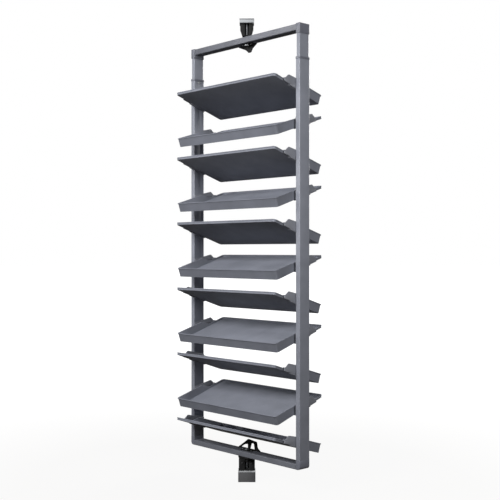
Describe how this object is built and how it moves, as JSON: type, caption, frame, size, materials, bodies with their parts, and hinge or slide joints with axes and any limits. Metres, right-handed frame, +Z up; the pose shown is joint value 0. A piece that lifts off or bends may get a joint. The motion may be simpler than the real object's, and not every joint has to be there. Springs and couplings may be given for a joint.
{
  "type": "rotating shoe tower",
  "caption": "Floor-to-ceiling frame of rectangular tubes that spins on two brackets and carries a stack of shallow shoe trays, tilted to alternate sides.",
  "frame": {"origin": "on the turning axis, on the floor under the floor bracket", "axes": "+Z up the turning axis, +X along the crossbars, +Y from the front of the rack to its back; the lowest tray has its high edge at the front"},
  "size_m": [0.7332, 0.293, 2.089],
  "materials": {
    "frame_grey": "satin grey powder coat with a fine grain",
    "corner_grey": "satin moulded grey, as the tubes",
    "arm_grey": "satin grey powder coat",
    "tray_plastic": "dark grey moulding with a fine leather-like grain",
    "black_moulding": "black glass-filled moulding",
    "spindle_chrome": "bright ground steel",
    "plain_steel": "zinc-plated steel",
    "cover_grey": "satin moulded dark grey",
    "cap_light": "satin moulded light grey"
  },
  "bodies": {
    "floor_bracket": {"floor_plate_steel": "plain_steel", "floor_housing": "black_moulding", "floor_cover": "cover_grey", "thrust_washer": "black_moulding"},
    "tower": {"hub_guard": "black_moulding", "floor_spindle": "spindle_chrome", "floor_spindle_nut": "plain_steel", "lower_yoke": "black_moulding", "bottom_crossbar": "frame_grey", "bottom_corner_left": "corner_grey", "outer_upright_left": "frame_grey", "guide_collar_left": "corner_grey", "front_arms_left": "arm_grey", "rear_arms_left": "arm_grey", "bottom_corner_right": "corner_grey", "outer_upright_right": "frame_grey", "guide_collar_right": "corner_grey", "front_arms_right": "arm_grey", "rear_arms_right": "arm_grey", "height_lock_screws": "plain_steel", "front_tray_1": "tray_plastic", "front_tray_2": "tray_plastic", "front_tray_3": "tray_plastic", "front_tray_4": "tray_plastic", "front_tray_5": "tray_plastic", "front_tray_6": "tray_plastic", "rear_tray_1": "tray_plastic", "rear_tray_2": "tray_plastic", "rear_tray_3": "tray_plastic", "rear_tray_4": "tray_plastic", "rear_tray_5": "tray_plastic"},
    "head_frame": {"inner_tube_left": "frame_grey", "slide_shoe_left": "black_moulding", "top_corner_left": "corner_grey", "inner_tube_right": "frame_grey", "slide_shoe_right": "black_moulding", "top_corner_right": "corner_grey", "top_crossbar": "frame_grey", "upper_yoke": "black_moulding", "ceiling_spindle": "spindle_chrome", "ceiling_spindle_nut": "plain_steel"},
    "ceiling_bracket": {"ceiling_plate": "plain_steel", "ceiling_housing": "black_moulding", "ceiling_cap": "cap_light"}
  },
  "joints": [
    {"name": "tower_spin", "type": "hinge", "parent": "floor_bracket", "child": "tower", "pos_m": [0, 0, 0], "axis": [0, 0, 1], "continuous": true},
    {"name": "height_slide", "type": "slide", "parent": "tower", "child": "head_frame", "axis": [0, 0, 1], "range_m": [-0.09, 0.1]},
    {"name": "ceiling_swivel", "type": "hinge", "parent": "head_frame", "child": "ceiling_bracket", "pos_m": [0, 0, 2], "axis": [0, 0, 1], "continuous": true}
  ],
  "couplings": [
    {"joint": "ceiling_swivel", "follows": "tower_spin", "ratio": -1}
  ]
}
